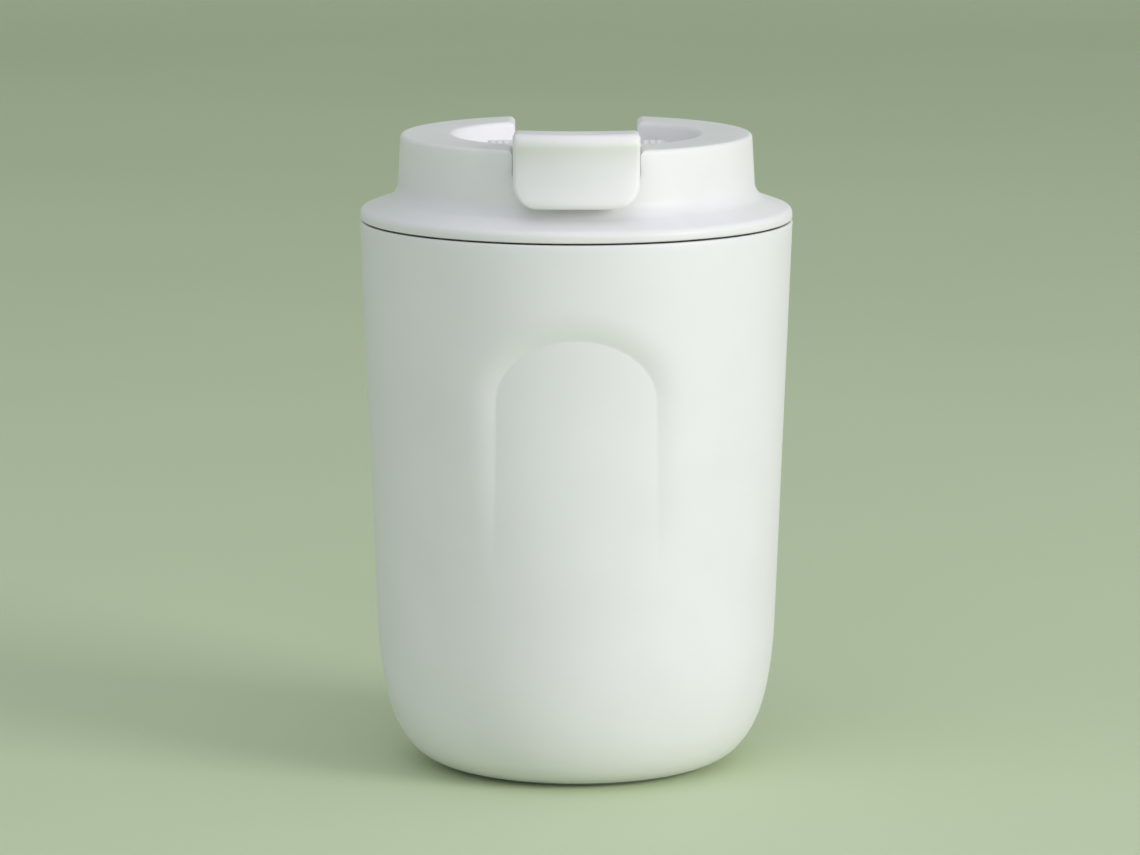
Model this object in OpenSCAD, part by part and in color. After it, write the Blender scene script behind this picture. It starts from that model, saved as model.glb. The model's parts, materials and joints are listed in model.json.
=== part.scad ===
// Insulated travel mug: a double-walled steel cup with a thumb groove, a screw-in lid
// and a flip lever that closes the sip hole. Lengths are in millimetres. +Z is up, the
// origin is the middle of the foot on the table, and the groove and the tab face -Y.

/* [Cup] */
// Outer radius at the lip
body_r = 43; // [42.8:0.1:43.2]
// Height of the lip
lip_z = 109.4; // [109.3:0.1:109.5]
// Outer radius where the straight side meets the rounded foot
waist_r = 39.9; // [39.7:0.1:40.1]
// Height where the straight side meets the rounded foot
waist_z = 30.7; // [28:0.1:34]
// Radius of the opening in the underside
foot_r = 25.5; // [25.4:0.1:26]
// Height of the shell's lowest edge above the table
foot_z = 0.5; // [0.4:0.1:0.7]
// Thickness of the steel walls
steel_t = 0.6; // [0.5:0.1:0.8]

/* [Thumb groove] */
// Half of the groove's width
groove_w = 15.9; // [14:0.1:18]
// Height where the groove's arch springs from its straight sides
groove_spring_z = 78.4; // [74:0.1:80]
// Height of the arch's top
groove_top_z = 90.7; // [88:0.1:92]
// Radius of the groove's floor at the arch's top
groove_floor_r = 41; // [40.6:0.1:41.3]
// Height where the groove fades out
groove_fade_z = 43; // [41:0.5:46]

/* [Liner] */
// Inner radius of the threaded neck
neck_r = 38.6; // [38.5:0.05:38.7]
// Inner radius of the smooth seat below the neck
seat_r = 36.9; // [36.85:0.05:37]
// Inner radius of the liner above its bottom corner
liner_low_r = 34.2; // [33:0.1:34.6]
// Height of the liner's inner floor
liner_floor_z = 7.3; // [7.2:0.1:9]

/* [Thread] */
// Rise of the thread in one full turn
lead = 12; // [12:1:12]
// Number of thread starts
starts = 3; // [3:1:3]

/* [Lid] */
// Radius of the lid's flange
flange_r = 42.9; // [42.5:0.1:43]
// Height of the flange's underside
flange_z = 110; // [109.9:0.1:110.2]
// Radius at the foot of the raised drum
drum_r = 35.4; // [35:0.1:35.8]
// Height of the drum's top
drum_z = 126.7; // [126.4:0.1:127]
// Radius of the round recess in the drum
recess_r = 24.2; // [23.8:0.1:24.6]
// Height of the recess floor
recess_z = 123; // [122.9:0.1:123.1]
// Width of the channel across the drum
channel_w = 24.8; // [24.6:0.1:25.2]
// Wall thickness of the moulded pieces
plastic_t = 2; // [1.8:0.1:2.2]

/* [Lever] */
// Width of the lever
lever_w = 24.2; // [23.6:0.1:24.2]
// Width of the tab in front of the lid
tab_w = 24.6; // [24.2:0.1:25]
// Height of the lever's crest
crest_z = 130.4; // [130:0.1:131]
// Height of the tab's lower edge
tab_z = 116; // [115.5:0.1:117]
// Height of the hinge axis
pivot_z = 121.9; // [121.8:0.1:122]
// Radius of the hinge pin
pin_r = 1; // [1:0.1:1]

/* [Hidden] */
$fn = 96;

white_coat = "#e9edea";
white_plastic = "#e4e7e2";
steel = "#b9bcbe";
silicone = "#c9ccc8";
foam = "#efe9d8";
copper = "#b87547";

// Shared clearances
slip = 0.3;        // between moving pieces
run = 0.05;        // radial clearance of the pin in its bearings
hair = 0.05;       // between fixed round pieces

// Foot, from the table up
pad_r = foot_r - 0.3;
pad_t = 2.2;
cover_disc_t = 0.8;
base_z = pad_t + 1;
collar_top_z = base_z + steel_t + 0.2;
dimple_r = 6.1;
dimple_h = 1;
bead_hole_r = 1;
getter_at = 15;
getter_r = 3;

// Liner heights
corner_top_z = 26;
taper_top_z = 93;
step_low_z = 97.2;
step_high_z = 98.4;
lip_t = 0.7;

// Thread
rib_depth = 1.25;
rib_root_half = 0.8;
rib_tip_half = 0.45;
cup_rib_z = 102;
cup_rib_sweep = 100;
lid_rib_sweep = 60;
lid_rib_lag = 20;
rib_embed = 0.2;

// Plug
plug_r = neck_r - rib_depth - 0.35;
plug_inner_r = 33;
nose_r = 35.2;
nose_z = 94.4;
nose_top_z = 98.6;
groove_low_z = 95;
groove_high_z = 97.6;
seal_root_r = 34;
seal_tip_r = seat_r - 0.4;
plug_floor_t = 1.6;
collar_h = 3;

// Lid cover
roof_z = recess_z - 3.1;
cavity_r = drum_r - plastic_t - 0.2;
channel_in_z = recess_z - 0.3;
channel_out_z = 121.6;
channel_bend_y = 24.5;
drum_edge_y = 34.8;
channel_round = 1.3;
pit_front_y = -5.5;
pit_back_y = 23;
pit_z = 118.8;
pit_wall = 1.6;

// Sip duct and vent
sip_y = -27.5;
sip_r = 3.5;
sip_spread = 2.5;
vent_y = -12;
vent_r = 2;
duct_wall = 1.2;
duct_top_z = roof_z - 1.5;

// Lever
boss_r = 2.6;
lever_t = 2.6;
arm_root_y = 0.5;
arm_rise_y = -31;
flat_start_r = 31.5;
under_z = crest_z - lever_t;
bend_r = 1.8;
bend_at = [37.6, crest_z - bend_r];
tab_tip_r = 40.3;
skirt_t = 1.6;
skirt_z = 123.3;
skirt_back_y = -12.5;
pin_half = 17;

// Points on an arc round c, from angle a0 to a1
function arc(c, r, a0, a1, n = 6) =
  [for (i = [0:n]) let (a = a0 + (a1 - a0) * i / n) c + r * [cos(a), sin(a)]];

// Points on a cubic curve
function curve(p0, p1, p2, p3, n = 12) =
  [for (i = [0:n]) let (t = i / n, s = 1 - t)
    s * s * s * p0 + 3 * s * s * t * p1 + 3 * s * t * t * p2 + t * t * t * p3];

// The same curve moved sideways by d, to its left as it runs
function curve_beside(p0, p1, p2, p3, d, n = 12) =
  [for (i = [0:n]) let (
      t = i / n, s = 1 - t,
      p = s * s * s * p0 + 3 * s * s * t * p1 + 3 * s * t * t * p2 + t * t * t * p3,
      v = s * s * (p1 - p0) + 2 * s * t * (p2 - p1) + t * t * (p3 - p2))
    p + d * [-v[1], v[0]] / norm(v)];

// Radius of the cup's straight side at a height
function side_r(z) = waist_r + (z - waist_z) * (body_r - waist_r) / (lip_z - waist_z);

// Control points of the rounded foot, from the underside to the side
side_dir = [body_r - waist_r, lip_z - waist_z] / norm([body_r - waist_r, lip_z - waist_z]);
foot_a = [foot_r, foot_z];
foot_b = foot_a + 13 * [cos(6.5), sin(6.5)];
foot_d = [waist_r, waist_z];
foot_c = foot_d - 9.15 * side_dir;

// Solid of the cup's outside, moved inward by d and closed at the top height
module cup_solid(d, bottom, top) {
  rotate_extrude()
    polygon(concat(
      [[0, bottom]],
      [[foot_r - d, bottom]],
      curve_beside(foot_a, foot_b, foot_c, foot_d, d),
      [[side_r(top) - d, top], [0, top]]
    ));
}

// Arched prism of the thumb groove, widened by d
module groove_arch(d) {
  rise = groove_top_z - groove_spring_z + d;
  half = groove_w + d;
  low = groove_fade_z - 5;
  rotate([90, 0, 0])
    linear_extrude(height = body_r + 5)
      polygon(concat(
        [[half, low]],
        [for (a = [0:7.5:180]) [half * cos(a), groove_spring_z + rise * sin(a)]],
        [[-half, low]]
      ));
}

// What the thumb groove takes from the cup when its floor is sunk by d
module groove_cut(d) {
  low = groove_fade_z - 6;
  high = groove_top_z + 6;
  slope = (side_r(groove_fade_z) - groove_floor_r) / (groove_top_z - groove_fade_z);
  difference() {
    groove_arch(d);
    translate([0, 0, low])
      cylinder(
        h = high - low,
        r1 = groove_floor_r - d + slope * (groove_top_z - low),
        r2 = groove_floor_r - d + slope * (groove_top_z - high)
      );
  }
}

module outer_shell() {
  color(white_coat)
    union() {
      difference() {
        cup_solid(0, foot_z, lip_z);
        groove_cut(0);
        difference() {
          cup_solid(steel_t, foot_z + steel_t, lip_z + 1);
          groove_cut(steel_t);
        }
        translate([0, 0, -1])
          cylinder(h = 10, r = foot_r);
      }
      translate([0, 0, foot_z + steel_t / 2])
        difference() {
          cylinder(h = collar_top_z - foot_z - steel_t / 2, r = foot_r + steel_t);
          translate([0, 0, -1])
            cylinder(h = 10, r = foot_r);
        }
    }
}

// Solid of the liner's inside, moved outward by d
module liner_solid(d, top) {
  rotate_extrude()
    polygon(concat(
      [[0, liner_floor_z - d]],
      curve(
        [20, liner_floor_z - d], [31.5, liner_floor_z - d],
        [liner_low_r - 0.4 + d, 14], [liner_low_r + d, corner_top_z]
      ),
      [
        [seat_r + d, taper_top_z],
        [seat_r + d, step_low_z - d / 2],
        [neck_r + d, step_high_z - d / 2],
        [neck_r + d, top],
        [0, top]
      ]
    ));
}

// One rib of the screw thread, swept round the axis as it climbs
module thread_rib(root_r, tip_r, z0, a0, sweep) {
  n = ceil(sweep / 7.5);
  root_half = rib_root_half;
  inner_r = min(root_r, tip_r);
  outer_r = max(root_r, tip_r);
  inner_half = root_r < tip_r ? root_half : rib_tip_half;
  outer_half = root_r < tip_r ? rib_tip_half : root_half;
  ring = [
    [inner_r, -inner_half], [outer_r, -outer_half],
    [outer_r, outer_half], [inner_r, inner_half]
  ];
  points = [for (i = [0:n]) for (p = ring)
    let (a = a0 + sweep * i / n)
      [p[0] * cos(a), p[0] * sin(a), z0 + lead * sweep * i / n / 360 + p[1]]];
  sides = [for (i = [0:n - 1]) for (k = [0:3])
    let (a = 4 * i + k, b = 4 * i + (k + 1) % 4)
      each [[a, b, b + 4], [a, b + 4, a + 4]]];
  polyhedron(points, concat([[3, 2, 1, 0]], sides, [[4 * n, 4 * n + 1, 4 * n + 2, 4 * n + 3]]));
}

// A full set of thread ribs, one for each start
module thread_ribs(root_r, tip_r, z0, a0, sweep) {
  for (k = [0:starts - 1])
    thread_rib(root_r, tip_r, z0, a0 + k * 360 / starts, sweep);
}

module inner_liner() {
  color(steel)
    union() {
      difference() {
        liner_solid(steel_t, lip_z - lip_t / 2);
        liner_solid(0, lip_z + 1);
      }
      translate([0, 0, lip_z - lip_t])
        rotate_extrude()
          polygon(concat(
            [[neck_r, 0]],
            arc([neck_r + 0.4, lip_t - 0.4], 0.4, 180, 90, 3),
            [[body_r - steel_t - hair, lip_t], [body_r - steel_t - hair, 0]]
          ));
      thread_ribs(neck_r + rib_embed, neck_r - rib_depth, cup_rib_z, 0, cup_rib_sweep);
    }
}

module copper_foil() {
  low = corner_top_z + 6;
  high = taper_top_z - 5;
  slope = (seat_r - liner_low_r) / (taper_top_z - corner_top_z);
  low_r = liner_low_r + steel_t + slope * (low - corner_top_z) + 0.15;
  high_r = liner_low_r + steel_t + slope * (high - corner_top_z) + 0.15;
  color(copper)
    rotate_extrude()
      polygon([[low_r, low], [low_r + 0.2, low], [high_r + 0.2, high], [high_r, high]]);
}

module vacuum_base() {
  outer = foot_r - hair;
  color(steel)
    translate([0, 0, base_z])
      rotate_extrude()
        polygon([
          [bead_hole_r, dimple_h], [dimple_r, dimple_h], [dimple_r + dimple_h, 0], [outer, 0],
          [outer, steel_t], [dimple_r + dimple_h + 0.4, steel_t],
          [dimple_r + 0.4, steel_t + dimple_h], [bead_hole_r, steel_t + dimple_h]
        ]);
}

module seal_bead() {
  color("#8d8f92")
    translate([0, 0, base_z + dimple_h])
      rotate_extrude()
        polygon(concat(
          [[0, steel_t], [0, -0.6]],
          arc([2.6, -0.1], 0.5, -90, 0, 3),
          [[3.1, 0], [bead_hole_r - hair, 0], [bead_hole_r - hair, steel_t]]
        ));
}

module getter() {
  color("#77797c")
    translate([getter_at, 0, base_z + steel_t])
      difference() {
        cylinder(h = 1.3, r = getter_r);
        translate([0, 0, 0.6])
          cylinder(h = 1, r = getter_r - 0.8);
      }
}

module base_cover() {
  color(steel)
    translate([0, 0, pad_t])
      cylinder(h = cover_disc_t, r = foot_r - 2 * hair);
}

module foot_pad() {
  chamfer = 0.4;
  color(silicone)
    difference() {
      rotate_extrude()
        polygon([[0, 0], [pad_r - chamfer, 0], [pad_r, chamfer], [pad_r, pad_t], [0, pad_t]]);
      for (r = [10:5:20])
        translate([0, 0, -1])
          difference() {
            cylinder(h = 1.5, r = r + 0.6);
            translate([0, 0, -1])
              cylinder(h = 4, r = r - 0.6);
          }
    }
}

module seal_ring() {
  low = groove_low_z + hair;
  high = groove_high_z - hair;
  root = seal_root_r + hair;
  body = nose_r - 0.1;
  color(silicone)
    rotate_extrude()
      polygon([
        [root, low], [body, low], [seal_tip_r, low + 0.3], [seal_tip_r, low + 0.6],
        [body, low + 1], [body, high - 1], [seal_tip_r, high - 0.6],
        [seal_tip_r, high - 0.3], [body, high], [root, high]
      ]);
}

// Slot with round ends, in plan, grown by d
module sip_slot(d) {
  translate([0, sip_y]) {
    square([2 * sip_spread, 2 * (sip_r + d)], center = true);
    for (x = [-sip_spread, sip_spread])
      translate([x, 0])
        circle(r = sip_r + d);
  }
}

// Round vent, in plan, grown by d
module vent_round(d) {
  translate([0, vent_y])
    circle(r = vent_r + d);
}

// Space above the channel floor, between the channel's walls
module channel_cut() {
  half = channel_w / 2;
  far = flange_r + 5;
  high = drum_z + 5;
  fall = (channel_in_z - channel_out_z) / (drum_edge_y - channel_bend_y);
  far_z = channel_in_z - fall * (far - channel_bend_y);
  round_z = drum_z - channel_round;
  intersection() {
    rotate([90, 0, 0])
      linear_extrude(height = 2 * far, center = true)
        polygon(concat(
          [[-half, far_z - 5], [half, far_z - 5]],
          arc([half + channel_round, round_z], channel_round, 180, 90),
          [[half + channel_round, high], [-half - channel_round, high]],
          arc([-half - channel_round, round_z], channel_round, 90, 0)
        ));
    rotate([90, 0, 90])
      linear_extrude(height = 2 * half + 4 * channel_round, center = true)
        polygon([
          [-far, far_z], [-channel_bend_y, channel_in_z], [channel_bend_y, channel_in_z],
          [far, far_z], [far, high], [-far, high]
        ]);
  }
}

// Hollow under the cover's roof, with the channel and the hinge pit left standing
module cover_hollow() {
  core = channel_w / 2 + plastic_t;
  difference() {
    union() {
      translate([0, 0, flange_z - 1])
        cylinder(h = roof_z - flange_z + 1, r = cavity_r);
      translate([0, 0, roof_z - 1])
        difference() {
          cylinder(h = drum_z - plastic_t - roof_z + 1, r = cavity_r);
          translate([0, 0, -1])
            cylinder(h = 10, r = recess_r + plastic_t);
        }
    }
    translate([-core, -drum_r, roof_z])
      cube([2 * core, 2 * drum_r, 10]);
    translate([-channel_w / 2 - pit_wall, pit_front_y - pit_wall, pit_z - pit_wall])
      cube([channel_w + 2 * pit_wall, pit_back_y - pit_front_y + 2 * pit_wall, 10]);
  }
}

// Outline of the cover's outside, from the axis round the flange to the recess
function cover_outline() =
  let (
    slope = 20,
    draft = 0.5,
    top_round = 0.8,
    edge_r = 1.4,
    fillet = 3.6,
    edge = [flange_r - edge_r, flange_z + 2.3 - edge_r],
    meet = edge + edge_r * [sin(slope), cos(slope)],
    fillet_x = drum_r + fillet,
    run_in = meet[0] - fillet_x + fillet * sin(slope),
    fillet_z = meet[1] + run_in * tan(slope) + fillet * cos(slope)
  )
  concat(
    [[0, flange_z], [flange_r - 0.4, flange_z], [flange_r, flange_z + 0.4]],
    arc(edge, edge_r, 0, 90 - slope),
    arc([fillet_x, fillet_z], fillet, 270 - slope, 180),
    arc([drum_r - draft - top_round, drum_z - top_round], top_round, 0, 90),
    arc([recess_r + 1, drum_z - 1], 1, 90, 180, 4),
    arc([recess_r - 0.6, recess_z + 0.6], 0.6, 0, -90, 3),
    [[0, recess_z]]
  );

module lid_cover() {
  slot_half = pin_half + 0.2;
  color(white_plastic)
    difference() {
      rotate_extrude()
        polygon(cover_outline());
      cover_hollow();
      channel_cut();
      translate([-channel_w / 2, pit_front_y, pit_z])
        cube([channel_w, pit_back_y - pit_front_y, 10]);
      translate([0, 0, flange_z])
        linear_extrude(height = 20)
          union() {
            sip_slot(0);
            vent_round(0);
          }
      translate([0, 0, pivot_z])
        rotate([0, 90, 0])
          cylinder(h = 2 * slot_half, r = pin_r + run, center = true);
      translate([-slot_half, -pin_r - run, pivot_z])
        cube([2 * slot_half, 2 * (pin_r + run), 5]);
    }
}

module lid_plug() {
  shoulder = 1.8;
  color(white_plastic)
    difference() {
      union() {
        rotate_extrude()
          polygon([
            [0, nose_z], [nose_r - 0.6, nose_z], [nose_r, nose_z + 0.4],
            [nose_r, groove_low_z], [seal_root_r, groove_low_z],
            [seal_root_r, groove_high_z], [nose_r, groove_high_z],
            [nose_r, nose_top_z], [plug_r, nose_top_z + 0.8], [plug_r, flange_z],
            [plug_inner_r, flange_z], [plug_inner_r, flange_z + collar_h],
            [plug_inner_r - 1.6, flange_z + collar_h], [plug_inner_r - 1.6, flange_z - 1],
            [plug_r - shoulder, flange_z - 2.4], [plug_r - shoulder, nose_top_z + 2.4],
            [plug_inner_r, nose_top_z + 0.6], [plug_inner_r, nose_z + plug_floor_t],
            [0, nose_z + plug_floor_t]
          ]);
        thread_ribs(
          plug_r - rib_embed, plug_r + rib_depth,
          cup_rib_z - lead / starts / 2 + lead * lid_rib_lag / 360, lid_rib_lag, lid_rib_sweep
        );
        translate([0, 0, nose_z + 0.2])
          linear_extrude(height = duct_top_z - nose_z - 0.2)
            union() {
              sip_slot(duct_wall);
              vent_round(duct_wall);
            }
      }
      translate([0, 0, nose_z - 1])
        linear_extrude(height = 40)
          union() {
            sip_slot(0);
            vent_round(0);
          }
    }
}

module insulation_disc() {
  low = nose_z + plug_floor_t + 0.2;
  high = flange_z - 0.4;
  color(foam)
    difference() {
      translate([0, 0, low])
        cylinder(h = high - low, r = plug_inner_r - 1.9);
      translate([0, 0, low - 1])
        linear_extrude(height = high - low + 2)
          union() {
            sip_slot(duct_wall + slip);
            vent_round(duct_wall + slip);
          }
    }
}

module duct_gasket() {
  color(silicone)
    translate([0, 0, duct_top_z])
      linear_extrude(height = roof_z - duct_top_z)
        difference() {
          union() {
            sip_slot(duct_wall);
            vent_round(duct_wall);
            translate([0, (sip_y + vent_y) / 2])
              square([3, vent_y - sip_y - 6], center = true);
          }
          sip_slot(0);
          vent_round(0);
        }
}

// Cap over one end of the hinge pin; side is 1 on the right and -1 on the left
module hinge_cap(side) {
  inner_x = channel_w / 2 + slip;
  length = 4.9;
  half = 3.5;
  height = 1.8;
  color(white_plastic)
    mirror([side < 0 ? 1 : 0, 0, 0])
      difference() {
        union() {
          translate([inner_x, -half, recess_z])
            cube([length, 2 * half, height]);
          translate([inner_x, -pin_r, pivot_z])
            cube([length - 0.6, 2 * pin_r, recess_z - pivot_z + 0.2]);
          for (row = [-1, 1])
            for (k = [0:2])
              translate([inner_x + 0.7 + 1.3 * k, 1.6 * row - 0.4, recess_z + height - 0.2])
                cube([0.9, 0.8, 0.45]);
        }
        translate([0, 0, pivot_z])
          rotate([0, 90, 0])
            cylinder(h = 60, r = pin_r + run, center = true);
      }
}

module hinge_cap_left() {
  hinge_cap(-1);
}

module hinge_cap_right() {
  hinge_cap(1);
}

module hinge_pin() {
  color(steel)
    translate([0, 0, pivot_z])
      rotate([0, 90, 0])
        cylinder(h = 2 * pin_half, r = pin_r, center = true);
}

// Heights of the sloping arm's top and underside
function arm_top_z(y) =
  crest_z + (pivot_z + boss_r - 0.2 - crest_z) * (y - arm_rise_y) / (arm_root_y - arm_rise_y);
function arm_low_z(y) =
  under_z + (pivot_z - under_z) * (y - arm_rise_y) / (arm_root_y - arm_rise_y);

// Outline of the lever's crest and tab, radius from the lid's axis against height
function tab_outline() =
  let (
    nose_r = bend_at[0] + bend_r,
    tip_round = 1
  )
  concat(
    [[flat_start_r, under_z], [flat_start_r, crest_z]],
    arc(bend_at, bend_r, 90, -24),
    curve(
      [nose_r - 0.2, bend_at[1] - 0.9], [nose_r - 1.2, bend_at[1] - 3.6],
      [nose_r - 1, bend_at[1] - 8.4], [tab_tip_r, tab_z + tip_round], 6
    ),
    arc([tab_tip_r - tip_round, tab_z + tip_round], tip_round, -20, -160, 4),
    curve(
      [tab_tip_r - 2, tab_z + tip_round + 0.4], [tab_tip_r - 3.3, tab_z + 4],
      [36.3, tab_z + 6], [36.3, under_z - 1], 6
    ),
    [[35.4, under_z]]
  );

// Outline of a lever of the given width, seen from the front
function lever_front(width) =
  let (half = width / 2, low_round = 4.8, top_round = 1.2)
  concat(
    arc([half - low_round, tab_z + low_round], low_round, -90, 0),
    arc([half - top_round, crest_z - top_round], top_round, 0, 90, 4),
    arc([-half + top_round, crest_z - top_round], top_round, 90, 180, 4),
    arc([-half + low_round, tab_z + low_round], low_round, 180, 270)
  );

module lever() {
  half = lever_w / 2;
  skirt_front_y = -35.2;
  color(white_plastic)
    difference() {
      union() {
        intersection() {
          union() {
            rotate([90, 0, 0])
              linear_extrude(height = 60)
                polygon(lever_front(lever_w));
            difference() {
              rotate([90, 0, 0])
                linear_extrude(height = 60)
                  polygon(lever_front(tab_w));
              cylinder(h = 2 * crest_z, r = drum_r + 0.4);
            }
          }
          union() {
            rotate_extrude()
              polygon(tab_outline());
            rotate([90, 0, 90])
              linear_extrude(height = lever_w + 2, center = true)
                polygon([
                  [arm_root_y, arm_top_z(arm_root_y)], [arm_rise_y, crest_z],
                  [-flat_start_r - 2, crest_z], [-flat_start_r - 2, under_z],
                  [arm_rise_y, under_z], [arm_root_y, arm_low_z(arm_root_y)]
                ]);
            for (x = [-half, half - skirt_t])
              translate([x, 0, 0])
                rotate([90, 0, 90])
                  linear_extrude(height = skirt_t)
                    polygon([
                      [skirt_front_y, skirt_z], [skirt_back_y, skirt_z],
                      [skirt_back_y, arm_low_z(skirt_back_y) + 0.5],
                      [arm_rise_y, under_z + 0.5], [skirt_front_y, under_z + 0.5]
                    ]);
          }
        }
        translate([0, 0, pivot_z])
          rotate([0, 90, 0])
            cylinder(h = lever_w, r = boss_r, center = true);
        translate([0, vent_y, pivot_z + 0.2])
          cylinder(h = 4, r = 0.9);
      }
      translate([0, 0, pivot_z])
        rotate([0, 90, 0])
          cylinder(h = 60, r = pin_r + hair / 2, center = true);
    }
}

module stopper_carrier() {
  post = sip_r - 1.2;
  front_y = sip_y - 5;
  back_y = sip_y + 5.5;
  low_z = arm_low_z(back_y) - 1.6;
  width = 17;
  color(white_plastic)
    union() {
      rotate([90, 0, 90])
        linear_extrude(height = width, center = true)
          polygon([
            [front_y, low_z], [back_y, low_z], [back_y, arm_low_z(back_y)],
            [arm_rise_y, under_z], [front_y, under_z]
          ]);
      translate([0, 0, pivot_z - 0.3])
        linear_extrude(height = low_z - pivot_z + 0.8)
          sip_slot(post - sip_r);
    }
}

module sip_stopper() {
  post = sip_r - 1.2;
  color(silicone)
    difference() {
      union() {
        translate([0, 0, pivot_z - 1.3])
          linear_extrude(height = 3)
            sip_slot(-slip - 0.05);
        translate([0, 0, channel_in_z + slip])
          linear_extrude(height = 1.4)
            sip_slot(1);
      }
      translate([0, 0, pivot_z - 0.3])
        linear_extrude(height = 5)
          sip_slot(post - sip_r);
    }
}

module vent_stopper() {
  color(silicone)
    translate([0, vent_y, 0])
      difference() {
        union() {
          translate([0, 0, pivot_z - 0.7])
            cylinder(h = 2, r = vent_r - 0.35);
          translate([0, 0, channel_in_z + slip])
            cylinder(h = 0.6, r = vent_r + 0.8);
        }
        translate([0, 0, pivot_z + 0.2])
          cylinder(h = 5, r = 0.9);
      }
}

outer_shell();
inner_liner();
copper_foil();
getter();
vacuum_base();
seal_bead();
base_cover();
foot_pad();
seal_ring();
lid_cover();
lid_plug();
insulation_disc();
duct_gasket();
hinge_cap_left();
hinge_cap_right();
lever();
stopper_carrier();
sip_stopper();
vent_stopper();
hinge_pin();
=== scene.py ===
"""Looks of the insulated travel mug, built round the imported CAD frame.

Shapes are worked out in millimetres and written to the meshes in metres. The mug stands
on the floor at the origin, +Z is up, and its thumb groove and lever tab face -Y.
"""

import json
import math

import bmesh
import bpy
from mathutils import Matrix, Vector


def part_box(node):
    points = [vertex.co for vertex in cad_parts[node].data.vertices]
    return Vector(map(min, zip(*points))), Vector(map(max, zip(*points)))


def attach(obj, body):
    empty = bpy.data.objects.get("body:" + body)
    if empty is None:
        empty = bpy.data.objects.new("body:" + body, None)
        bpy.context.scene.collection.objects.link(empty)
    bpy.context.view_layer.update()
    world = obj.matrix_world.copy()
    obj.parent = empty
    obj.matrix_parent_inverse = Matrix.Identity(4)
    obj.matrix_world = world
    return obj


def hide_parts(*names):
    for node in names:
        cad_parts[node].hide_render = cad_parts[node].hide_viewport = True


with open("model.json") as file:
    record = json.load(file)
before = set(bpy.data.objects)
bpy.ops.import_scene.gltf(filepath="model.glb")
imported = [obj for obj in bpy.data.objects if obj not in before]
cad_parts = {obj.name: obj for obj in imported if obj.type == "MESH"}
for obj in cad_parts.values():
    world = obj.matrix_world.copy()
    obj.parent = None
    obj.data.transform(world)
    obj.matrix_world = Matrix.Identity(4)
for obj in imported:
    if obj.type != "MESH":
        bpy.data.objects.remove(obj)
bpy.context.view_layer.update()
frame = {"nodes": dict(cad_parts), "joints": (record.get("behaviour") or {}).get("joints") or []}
NODES = frame["nodes"]
MM = 0.001

# ---------------------------------------------------------------- sizes, millimetres

# Outer shell: a straight taper from the lip to the waist, and one curve round the foot.
shell_low, shell_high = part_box("outer_shell")
STEEL_T = 0.6
LIP_R = shell_high[0] / MM
LIP_Z = shell_high[2] / MM + 0.1
LIP_T = 0.7
LIP_ROUND = 0.4
LIP_DRAW = 0.05
LIP_CHAMFER = 0.1
SIDE_TOP_Z = LIP_Z - 0.6
SIDE_ROWS_Z = (34.5, 32.5)
WAIST_R = 39.9
WAIST_Z = 30.7
SIDE_PULL = 9.15
FOOT_R = 25.5
FOOT_Z = shell_low[2] / MM
FOOT_EDGE = 0.35
FOOT_PULL = 13.0
FOOT_ANGLE = math.radians(6.5)
COLLAR_TOP_Z = 4.0
COLLAR_CHAMFER = 0.1

# Thumb groove: an arch that is deepest at its top and fades out downward.
GROOVE_HALF = 15.9
GROOVE_TOP_Z = 90.7
GROOVE_SPRING_Z = 78.4
GROOVE_FADE_Z = 43.0
GROOVE_LOW_Z = 36.0
GROOVE_FLOOR_R = 41.0
GROOVE_BLEND_R = 10.5
GROOVE_SOFT = 0.12
INNER_NARROW_Z = GROOVE_TOP_Z + 2
INNER_WIDE_Z = GROOVE_TOP_Z + 6

# Lid cover, from the outside to the middle.
FLANGE_R = 42.9
FLANGE_Z = 109.85
FLANGE_EDGE_Z = 112.3
FLANGE_EDGE_R = 1.4
FLANGE_UNDER_R = 0.3
FLANGE_SLOPE = 20
DRUM_R = 35.4
DRUM_Z = 126.7
DRUM_DRAFT = 0.5
DRUM_EDGE_R = 0.8
DRUM_FILLET_R = 3.6
RECESS_R = 24.2
RECESS_Z = 123.0
RECESS_EDGE_R = 1.0
RECESS_FILLET_R = 0.6
CAVITY_R = 33.2
ROOF_Z = 119.9
CHANNEL_HALF = 12.4
CHANNEL_ROUND = 1.3
CHANNEL_Z = 122.7
CHANNEL_BEND_Y = 24.5
CHANNEL_FALL = 1.1 / 10.3
PIT_FRONT_Y = -5.5
PIT_BACK_Y = 23.0
PIT_Z = 118.8
PIT_WALL_T = 1.6
SIP_Y = -27.5
SIP_R = 3.5
SIP_SPREAD = 2.5
VENT_Y = -12.0
VENT_R = 2.0
CAP_END_X = 17.6
CAP_HALF = 3.5
CAP_GAP = 0.2
CAP_SUNK = 0.4
PIN_BORE_R = 1.05
PIN_BORE_HALF = 17.2

# Lever: an arm that rises to the crest, a bend over the nose, and the tab in front.
PIVOT_Z = frame["joints"][2]["pos_m"][2] / MM
lever_low, lever_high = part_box("lever")
CREST_Z = lever_high[2] / MM
CREST_FROM = 31.0
LEVER_HALF = 12.1
LEVER_T = 2.6
LEVER_EDGE_R = 0.9
ARM_TOP_RISE = 2.35
BEND_R = 1.8
BEND_INNER_R = 0.5
BEND_DIST = 37.6
BEND_Z = CREST_Z - BEND_R
BEND_END_ANGLE = -32
BOSS_R = 2.6
BOSS_BORE_R = 1.03
BOSS_EDGE_R = 0.4
TAB_HALF = 12.3
TAB_CORNER = 4.8
TAB_Z = lever_low[2] / MM
TAB_TIP_R = 40.3
DISH_DEPTH = 0.4
DISH_DIST = 34.6
DISH_LENGTH = 1.9
DISH_WIDTH = 7.0
SKIRT_T = 1.6
SKIRT_LOW_Z = 123.3
SKIRT_TOP_Z = 128.6
SKIRT_FRONT_Y = -34.6


# ---------------------------------------------------------------- small helpers

def mix(a, b, t):
    return a + (b - a) * t


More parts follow.
